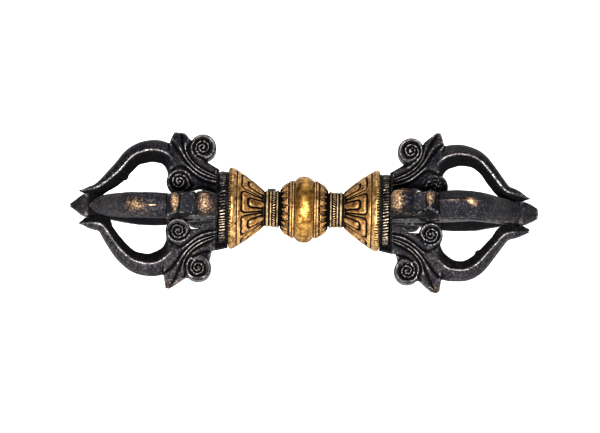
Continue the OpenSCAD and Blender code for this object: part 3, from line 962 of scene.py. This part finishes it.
def bow_field(shape, u, v, w):
    """Signed distance of the bow, with the height over its middle line and its half width there."""
    points = [*BOW_START, *zip(LINE_AT, shape["line"]), shape["tip"]]
    line = smoothed(curve_through(points, 30), 41)
    tangent = np.gradient(line, axis=0)
    tangent /= np.linalg.norm(tangent, axis=1)[:, None]
    nearest = nearest_on(line, u, v)
    c, t = line[nearest], tangent[nearest]
    out = (v - c[..., 1]) * t[..., 0] - (u - c[..., 0]) * t[..., 1]
    past = (u - c[..., 0]) * t[..., 0] + (v - c[..., 1]) * t[..., 1]
    s = c[..., 0] + np.maximum(past, 0)
    thick = eased(s, THICK_AT, shape["thick"], 4.0)
    # The tip tapers over its last few millimetres
    blunt = shape.get("blunt", 0.12)
    thick = thick * (blunt + (1 - blunt) * np.clip((line[-1, 0] - s) / 3.2, 0, 1) ** 0.8)
    wide = eased(s, *shape.get("wide", FULL_WIDTH), 1.2)
    above = np.maximum(out, 0) / (thick * 0.5)
    below = np.maximum(-out, 0) / (thick * 0.5) / np.interp(s, *shape.get("inner", INNER_REACH))
    # The roof's ridge may stand off the middle of the prong
    ridge = (shape.get("ridge", 0.0) * smoothstep(13, 16, s) * smoothstep(34, 26, s))[..., None]
    off = w - ridge
    across = np.abs(off) / (wide[..., None] - np.sign(off) * ridge)
    roof = shape.get("roof", 1.5)
    roof = (roof + (2 - roof) * smoothstep(25, 31, s))[..., None]
    outer = (across**roof + above[..., None] ** roof) ** (1 / roof)
    inner = (across**1.3 + below[..., None] ** 1.3) ** (1 / 1.3)
    bow = (np.where(out[..., None] > 0, outer, inner) - 1) * (thick * 0.42)[..., None]
    # The bow ends at both ends of its line
    beyond = np.where(nearest == len(line) - 1, past, np.where(nearest == 0, -past, -9.0))
    return np.maximum(bow, beyond[..., None]), out, wide


def head_outline(shape, u, v, scroll_a, to_a, to_b):
    """Signed distance to the outline of a head in the prong's plane."""
    rods = [
        ((0, 8.2), (5.5, 12.4), 3.7, 3.0),
        ((5.5, 12.4), (11.0, 16.0), 3.0, 3.1),
        ((5.6, 13.5), (scroll_a[0] + 0.9, 17.0), 2.2, 2.6),
        ((0, 7.2), (3.0, 7.7), 2.7, 2.4),
        ((3.0, 9.0), (10.5, 9.6), 2.0, 2.4),
        ((11.5, 8.5), (12.2, 14.5), 3.0, 2.6),
    ]
    fills = [capsule(u, v, *rod) for rod in shape["fill"]]
    lobes = [*[capsule(u, v, *rod) for rod in rods], to_a, to_b, *fills]
    outline = lobes[0]
    for lobe in lobes[1:]:
        outline = smooth_min(outline, lobe, 0.5)
    return smooth_min(outline, half_planes(u, v, shape["horn"]), 0.4)


def head_grooves(shape, scroll_a, scroll_b):
    """Lines between the strands of the mane, and round the coils of the two scrolls."""
    a, b = scroll_a[0], scroll_b[0]
    crown = np.array(shape["horn"])[3:-1].mean(axis=0)
    notch = shape["horn"][2]
    strands = [
        [(0, 10.2), (3.0, 11.6), (6.0, 13.4), (8.4, 15.8), (9.5, 18.4), (notch[0] - 0.2, 21.0), notch],
        [(0, 9.4), (4.1, 11.0), (7.2, 13.1), (9.7, 16.2), (11.0, 19.4), tuple(crown - (0.7, 0.9))],
        [(0, 8.7), (3.8, 9.8), (7.1, 11.6), (9.8, 14.3), (12.3, 17.6), (14.1, 20.0), (16.4, 21.6)],
        [(0, 7.4), (3.4, 8.0), (6.4, 9.6), (9.2, 11.9), (11.6, 12.9), (14.2, 11.6), (16.2, 9.6)],
        [(a - 3.5, 14.3), (a - 0.9, 14.8), (a + 1.6, 16.1)],
        [(b - 4.2, 7.0), (b - 3.4, 8.6), (b - 2.3, 10.1)],
    ]
    coils = [spiral(scroll_a, -0.75, 2.95, 2.2, 1), spiral(scroll_b, 2.25, 2.9, 2.1, -1)]
    return [curve_through(strand) for strand in strands] + coils


def head_field(shape, u, v, off_plane):
    """Signed distance of the head, with straps and scrolls on both faces, and distance to its grooves."""
    scroll_a = shape.get("scroll_a", SCROLL_A)
    scroll_b = shape.get("scroll_b", SCROLL_B)
    to_a = np.hypot(u - scroll_a[0], v - scroll_a[1]) - SCROLL_A_R
    to_b = np.hypot(u - scroll_b[0], v - scroll_b[1]) - shape.get("radius_b", SCROLL_B_R)
    groove = np.full(u.shape, FAR)
    for path in head_grooves(shape, scroll_a, scroll_b):
        groove = np.minimum(groove, distance_to(path, u, v))
    # The inner scroll of one prong is filled and worn
    groove = np.hypot(groove, 0.02 + shape.get("filled", 0.0) * smoothstep(0.6, -0.2, to_b))
    # Half the width: wider at the scrolls, narrower at the horn, lower in the grooves
    half = 2.85 + 0.85 * smoothstep(0.5, -0.6, to_a) + 0.6 * smoothstep(0.5, -0.6, to_b)
    half = half - shape.get("taper", 0.9) * smoothstep(19.5, 25.5, v) * smoothstep(0.0, 1.0, to_a)
    half = half + 0.62 * (1 - bump(groove, 0.62)) - 0.3 * bump(groove, 0.2)
    waist_u, waist = shape.get("waist", (0.0, 0.0))
    half = half - waist * bump(u - waist_u, 1.8) * smoothstep(18.0, 20.0, v)
    coil = smoothstep(-1.2, -1.8, np.minimum(to_a, to_b))
    half = half + 0.16 * coil * waves(u, v, 0 * u, shape["seed"] + 40, 0.9, 20)
    edge = 0.65
    radius = edge + (shape.get("round", edge) - edge) * smoothstep(1.0, -0.5, to_a)
    outline = head_outline(shape, u, v, scroll_a, to_a, to_b)
    head = rounded_corner(outline[..., None], off_plane - half[..., None], radius[..., None])
    return head, groove


def core_half(u):
    """Half the width of the central prong at distance u from the seat."""
    return np.interp(u, [0, 11.4, 26.1, 38.5, 41.3, 43.5, 45.0], [3.4, 3.4, 2.55, 3.6, 3.95, 3.4, 2.7])


def trimmed(f, grid, angle):
    """Keeps a prong in its quarter, off the central prong and the ring, and above what it rests on."""
    u, v, w = grid
    y, z = across_head(v, w, angle)
    near, far = np.sort(np.stack([np.abs(y + z), np.abs(y - z)]) * DIAGONAL, axis=0)
    f = np.maximum(f, core_half(u) + CORE_GAP - far)
    f = np.maximum(f, (near - far + QUARTER_GAP) * DIAGONAL)
    ring = PEARL_CREST + RING_GAP - np.hypot(v, w)
    f = np.maximum(f, np.minimum(-u, ring))
    f = np.maximum(f, RIM_END - SEAT + RIM_GAP - u)
    f = np.maximum(f, -AXIS_H - z)
    return np.maximum(f, np.maximum(np.abs(y), z) - AXIS_H - HORN_OVER)


def tenon_field(grid, angle, straight):
    """Signed distance of the tenon, in line with its mortise also where the prong is turned a little."""
    u, v, w = grid
    y, z = across_head(v, w, angle)
    out = z * math.sin(straight) - y * math.cos(straight) - FOOT_V
    across = y * math.sin(straight) + z * math.cos(straight)
    section = np.maximum(np.abs(out) - TENON_T / 2, np.abs(across) - TENON_W / 2)
    return np.maximum(section, np.abs(u) - TENON_L)


def prong_field(shape, angle, straight):
    """Signed distances of one side prong over u, v and w, and fields over u and v for its marks."""
    axes = [np.arange(a, b, GRID_STEP) for a, b in zip(GRID_LOW, GRID_HIGH)]
    u, v = np.meshgrid(*axes[:2], indexing="ij")
    w = axes[2]
    # The head may stand off the middle plane of the prong
    lean = shape.get("lean", 0.0) * smoothstep(16, 11, u)
    off_plane = np.abs(w - lean[..., None])
    bow, out, wide = bow_field(shape, u, v, w)
    head, groove = head_field(shape, u, v, off_plane)
    f = smooth_min(head, bow, 0.8)
    for x, y, z, radius, long, soft in shape.get("beads", ()):
        flat = ((u - x) ** 2 + (v - y) ** 2)[..., None]
        f = smooth_min(f, np.sqrt(flat + ((w - z) / long) ** 2) - radius, soft)
    grid = np.meshgrid(*axes, indexing="ij", sparse=True)
    f = f + 0.03 * waves(*grid, shape["seed"], 6.0, 12) + 0.016 * waves(*grid, shape["seed"] + 1, 0.9, 16)
    f = np.minimum(trimmed(f, grid, angle), tenon_field(grid, angle, straight))
    f[[0, -1]] = OUTSIDE
    f[:, [0, -1]] = OUTSIDE
    f[:, :, [0, -1]] = OUTSIDE
    return f, {"groove": groove, "out": out, "wide": wide}


def sample(grid, u, v):
    """Values of a grid over u and v at given places, blended between its four nearest points."""
    x = np.clip((u - GRID_LOW[0]) / GRID_STEP, 0, grid.shape[0] - 1.001)
    y = np.clip((v - GRID_LOW[1]) / GRID_STEP, 0, grid.shape[1] - 1.001)
    i, j = x.astype(int), y.astype(int)
    x, y = x - i, y - j
    near = grid[i, j] * (1 - x) + grid[i + 1, j] * x
    far = grid[i, j + 1] * (1 - x) + grid[i + 1, j + 1] * x
    return near * (1 - y) + far * y


def rub_and_highlight_marks(shape, u, v, w):
    """Rubbed places: the outer face of the bow, the brow of the outer scroll and the end of the horn, and a
    painted highlight line along the blade.
    """
    amount = shape.get("rub_and_highlight", 0.3)
    at_u, wide_u, at_w, wide_w, strength, slant = shape.get("patch", (22.5, 6.5, 0, 2.0, 0.35, 0.0))
    face = strength * smoothstep(14, 17.5, v) * bump(u - at_u, wide_u)
    face = face * bump(w - at_w - slant * (u - at_u), wide_w)
    # A painted highlight line along the blade
    if "highlight_streak" in shape:
        at_u, wide_u, at_w, wide_w = shape["highlight_streak"]
        face = face + 0.9 * smoothstep(16, 19, v) * bump(u - at_u, wide_u) * bump(w - at_w, wide_w)
    at_brow, wide_brow, strength = shape.get("brow", (4.6, 3.4, amount))
    brow = strength * bump(u - at_brow, wide_brow) * smoothstep(18.0, 20.5, v)
    horn = 1.15 * amount * smoothstep(22.9, 23.6, v) * smoothstep(9.5, 10.4, u)
    return np.clip(face + brow + horn, 0, 1)


def soil_and_shade_marks(shape, u, v, w, groove, out):
    """Dark patina with painted shade in the grooves; painted shade on the inner faces of the bow, at the
    seat and under the front prongs.
    """
    soil_and_shade = bump(groove, 0.34) * smoothstep(1.6, 2.4, np.abs(w))
    # Painted shade on the inner faces of the bow, at the seat and under the front heads
    inner = shape.get("inner_shade", 0.75) * smoothstep(-0.2, -0.8, out) * smoothstep(13.5, 17, u)
    seat_shade_shift = shape.get("seat_shade_shift", 0.0)
    seat = smoothstep(0.6 - seat_shade_shift, -0.4 - seat_shade_shift, u) * smoothstep(11.0, 11.8, v)
    under = shape.get("under", 0.0) * smoothstep(1.2, 2.8, w) * smoothstep(15, 12, u)
    return np.maximum.reduce([soil_and_shade, inner, seat, under])


def prong_marks(shape, points, fields):
    u, v, w = points.T
    groove, out, wide = [sample(fields[key], u, v) for key in ("groove", "out", "wide")]
    # A painted highlight along the side ridges of the bow, where they catch the light
    ridge = shape.get("ridge_highlight", 0.85) * bump(out, 0.19) * smoothstep(0.6, 0.85, np.abs(w) / wide)
    ridge = ridge * smoothstep(13.5, 17, u) * smoothstep(41, 37, u)
    outer_face = smoothstep(-1.0, 1.0, v - np.interp(u, (30, 40), (14, 4)))
    wear = shape.get("wear", 0.0) * smoothstep(12.5, 14.5, u) * outer_face
    return {
        "rub_and_highlight": rub_and_highlight_marks(shape, u, v, w),
        "soil_and_shade": soil_and_shade_marks(shape, u, v, w, groove, out),
        "wear": np.maximum(wear, shape.get("haze", 0.0)),
        "ridge": ridge,
    }


def side_prong(node):
    shape = PRONGS[node]
    side_name, _, quarter = node.partition("_prong_")
    straight = math.radians(QUARTER[quarter])
    angle = straight + math.radians(shape.get("turn", 0))
    f, fields = prong_field(shape, angle, straight)
    points, faces = surface_net(f, GRID_LOW, GRID_STEP)
    points = relax(points, faces)
    u, v, w = points.T
    y, z = across_head(v, w, angle)
    placed = np.stack([SEAT + u, y, z], 1)
    marks = prong_marks(shape, points, fields)
    add_piece(node, "cast", SIDES[side_name], placed, faces, BRONZE, marks, CAST_CREASE)


# Central prongs

CORE_ROWS, CORE_COLUMNS = 220, 160
CORE_AT = [0, 11.4, 26.1, 38.5, 41.3, 43.5, 45.0, HEAD_L]
CORE_HALF = [3.35, 3.35, 2.5, 3.55, 3.95]
# Half widths toward the end of each point, how far it is worn and how much painted shade it has where the
# prongs meet
CORE_ENDS = {
    "left": {"point": (2.9, 1.75, 0.35), "worn": 0.5, "painted_shade": 0.85},
    "right": {"point": (3.3, 2.6, 1.5), "worn": 0.1, "painted_shade": 0.4},
}


def core_rows(point, side):
    """Distance from the seat, radius and angle over a central prong, from its socket to its point."""
    u = np.linspace(0, HEAD_L, CORE_ROWS)
    half = np.interp(u, CORE_AT, [*CORE_HALF, *point])
    half = np.convolve(np.pad(half, 3, mode="edge"), np.ones(7) / 7, "valid")
    half[-1] = point[2] * 0.6
    a = np.arange(CORE_COLUMNS) * FULL_TURN / CORE_COLUMNS
    power = np.interp(u, [0, 36, HEAD_L], [9, 7, 3.2])[:, None]
    r = half[:, None] * (np.abs(np.cos(a)) ** power + np.abs(np.sin(a)) ** power) ** (-1 / power)
    r = r + 0.05 * waves(u[:, None], r * np.cos(a), r * np.sin(a), 31 + side, 3.0)
    # The first two rows are the bottom and the mouth of the rod's socket
    r = np.concatenate([np.full((2, CORE_COLUMNS), BORE_R), r])
    u = np.concatenate([[ROD_SOCKET, 0], u])
    return np.broadcast_to(u[:, None], r.shape), r, a + math.pi / 4


def end_cap(row, middle):
    """Quads that close a row of points and share its middle point."""
    k = np.arange(0, CORE_COLUMNS, 2)
    at = row * CORE_COLUMNS
    return np.stack([np.full(len(k), middle), at + (k + 2) % CORE_COLUMNS, at + k + 1, at + k], 1)


def central_prong(side_name, side):
    look = CORE_ENDS[side_name]
    u, r, a = core_rows(look["point"], side)
    rows = len(u)
    points = np.stack([SEAT + u, r * np.cos(a), r * np.sin(a)], 2).reshape(-1, 3)
    ends = np.array([[SEAT + at, 0, 0] for at in (ROD_SOCKET, HEAD_L)])
    caps = [end_cap(0, len(points)), end_cap(rows - 1, len(points) + 1)[:, ::-1]]
    faces = np.concatenate([grid_quads(rows, CORE_COLUMNS, closed=False), *caps])
    points = np.concatenate([points, ends])
    along = np.concatenate([u.ravel(), [ROD_SOCKET, HEAD_L]])
    marks = {
        "rub_and_highlight": look["worn"] * smoothstep(44.0, 46.6, along),
        # Painted shade where the side prongs meet the central prong
        "soil_and_shade": look["painted_shade"] * smoothstep(33.5, 35.5, along) * smoothstep(41.8, 40.3, along),
    }
    node = f"{side_name}_central_prong"
    add_piece(node, "cast", side, points, faces, BRONZE, marks, CAST_CREASE)


# The assembly

hub_ball()
for side_name, side in SIDES.items():
    inner_lotus(side_name, side)
    neck_collar(side_name, side)
    lotus_cup(side_name, side)
    rim_band(side_name, side)
    pearl_band(side_name, side)
    central_prong(side_name, side)
for node in PRONGS:
    side_prong(node)

# Pieces that keep their CAD shape
KEPT = {"core_rod": IRON, "neck_pin": IRON, "left_moon_disc": SHADED_BRONZE, "right_moon_disc": SHADED_BRONZE}
for node, material in KEPT.items():
    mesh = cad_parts[node].data
    mesh.materials.clear()
    mesh.materials.append(material)


# Floor, light and camera

FLOOR_HALF = 3.0
PHOTO_W, PHOTO_H = 600, 433
PIXEL = 0.3202 * MM
LENS, SENSOR = 300, 36
ELEVATION = math.radians(38.5)
ROLL = math.atan(0.0195)
# Where the ball lies in the photo
BALL_X, BALL_Y = 304, 209.6
AIM = (0, 0, 0.02)


def floor():
    s = FLOOR_HALF
    mesh = bpy.data.meshes.new("floor")
    mesh.from_pydata([(-s, -s, 0), (s, -s, 0), (s, s, 0), (-s, s, 0)], [], [(0, 1, 2, 3)])
    plane = bpy.data.objects.new("floor", mesh)
    bpy.context.scene.collection.objects.link(plane)
    material, _, shader = node_material("pale_floor")
    shader.inputs["Base Color"].default_value = (0.30, 0.30, 0.30, 1)
    shader.inputs["Emission Color"].default_value = (1, 1, 1, 1)
    shader.inputs["Emission Strength"].default_value = 0.9
    shader.inputs["Roughness"].default_value = 0.9
    shader.inputs["Specular IOR Level"].default_value = 0.1
    mesh.materials.append(material)


def area_light(name, place, size, power):
    data = bpy.data.lights.new(name, "AREA")
    data.shape = "DISK"
    data.size = size
    data.energy = power
    light = bpy.data.objects.new(name, data)
    light.location = place
    light.rotation_euler = (Vector(AIM) - Vector(place)).to_track_quat("-Z", "Y").to_euler()
    bpy.context.scene.collection.objects.link(light)


def studio():
    """A soft key light in front, a weak one behind, and a dim white world."""
    area_light("key", (0.0, -0.72, 0.45), 0.14, 14)
    area_light("back", (0.1, 0.60, 0.50), 0.50, 2.5)
    world = bpy.data.worlds.new("studio")
    world.use_nodes = True
    background = world.node_tree.nodes["Background"]
    background.inputs["Color"].default_value = (1, 1, 1, 1)
    background.inputs["Strength"].default_value = 0.2
    scene = bpy.context.scene
    scene.world = world
    scene.view_settings.view_transform = "Standard"
    scene.view_settings.look = "High Contrast"


def camera():
    """A long lens at the photo's angle, with the ball where the photo has it."""
    data = bpy.data.cameras.new("camera")
    data.lens = LENS
    data.sensor_width = SENSOR
    data.clip_start = 0.01
    cam = bpy.data.objects.new("camera", data)
    bpy.context.scene.collection.objects.link(cam)
    distance = PIXEL * PHOTO_W * LENS / SENSOR
    back = Vector((0, -math.cos(ELEVATION), math.sin(ELEVATION)))
    upright = Vector((0, math.sin(ELEVATION), math.cos(ELEVATION)))
    across = Vector((1, 0, 0))
    right = across * math.cos(ROLL) + upright * math.sin(ROLL)
    up = upright * math.cos(ROLL) - across * math.sin(ROLL)
    place = Vector((0, 0, AXIS_H * MM)) + back * distance
    place -= right * (BALL_X - PHOTO_W / 2) * PIXEL
    place += up * (BALL_Y - PHOTO_H / 2) * PIXEL
    cam.matrix_world = Matrix((right, up, back)).transposed().to_4x4()
    cam.location = place
    bpy.context.scene.camera = cam


floor()
camera()
studio()
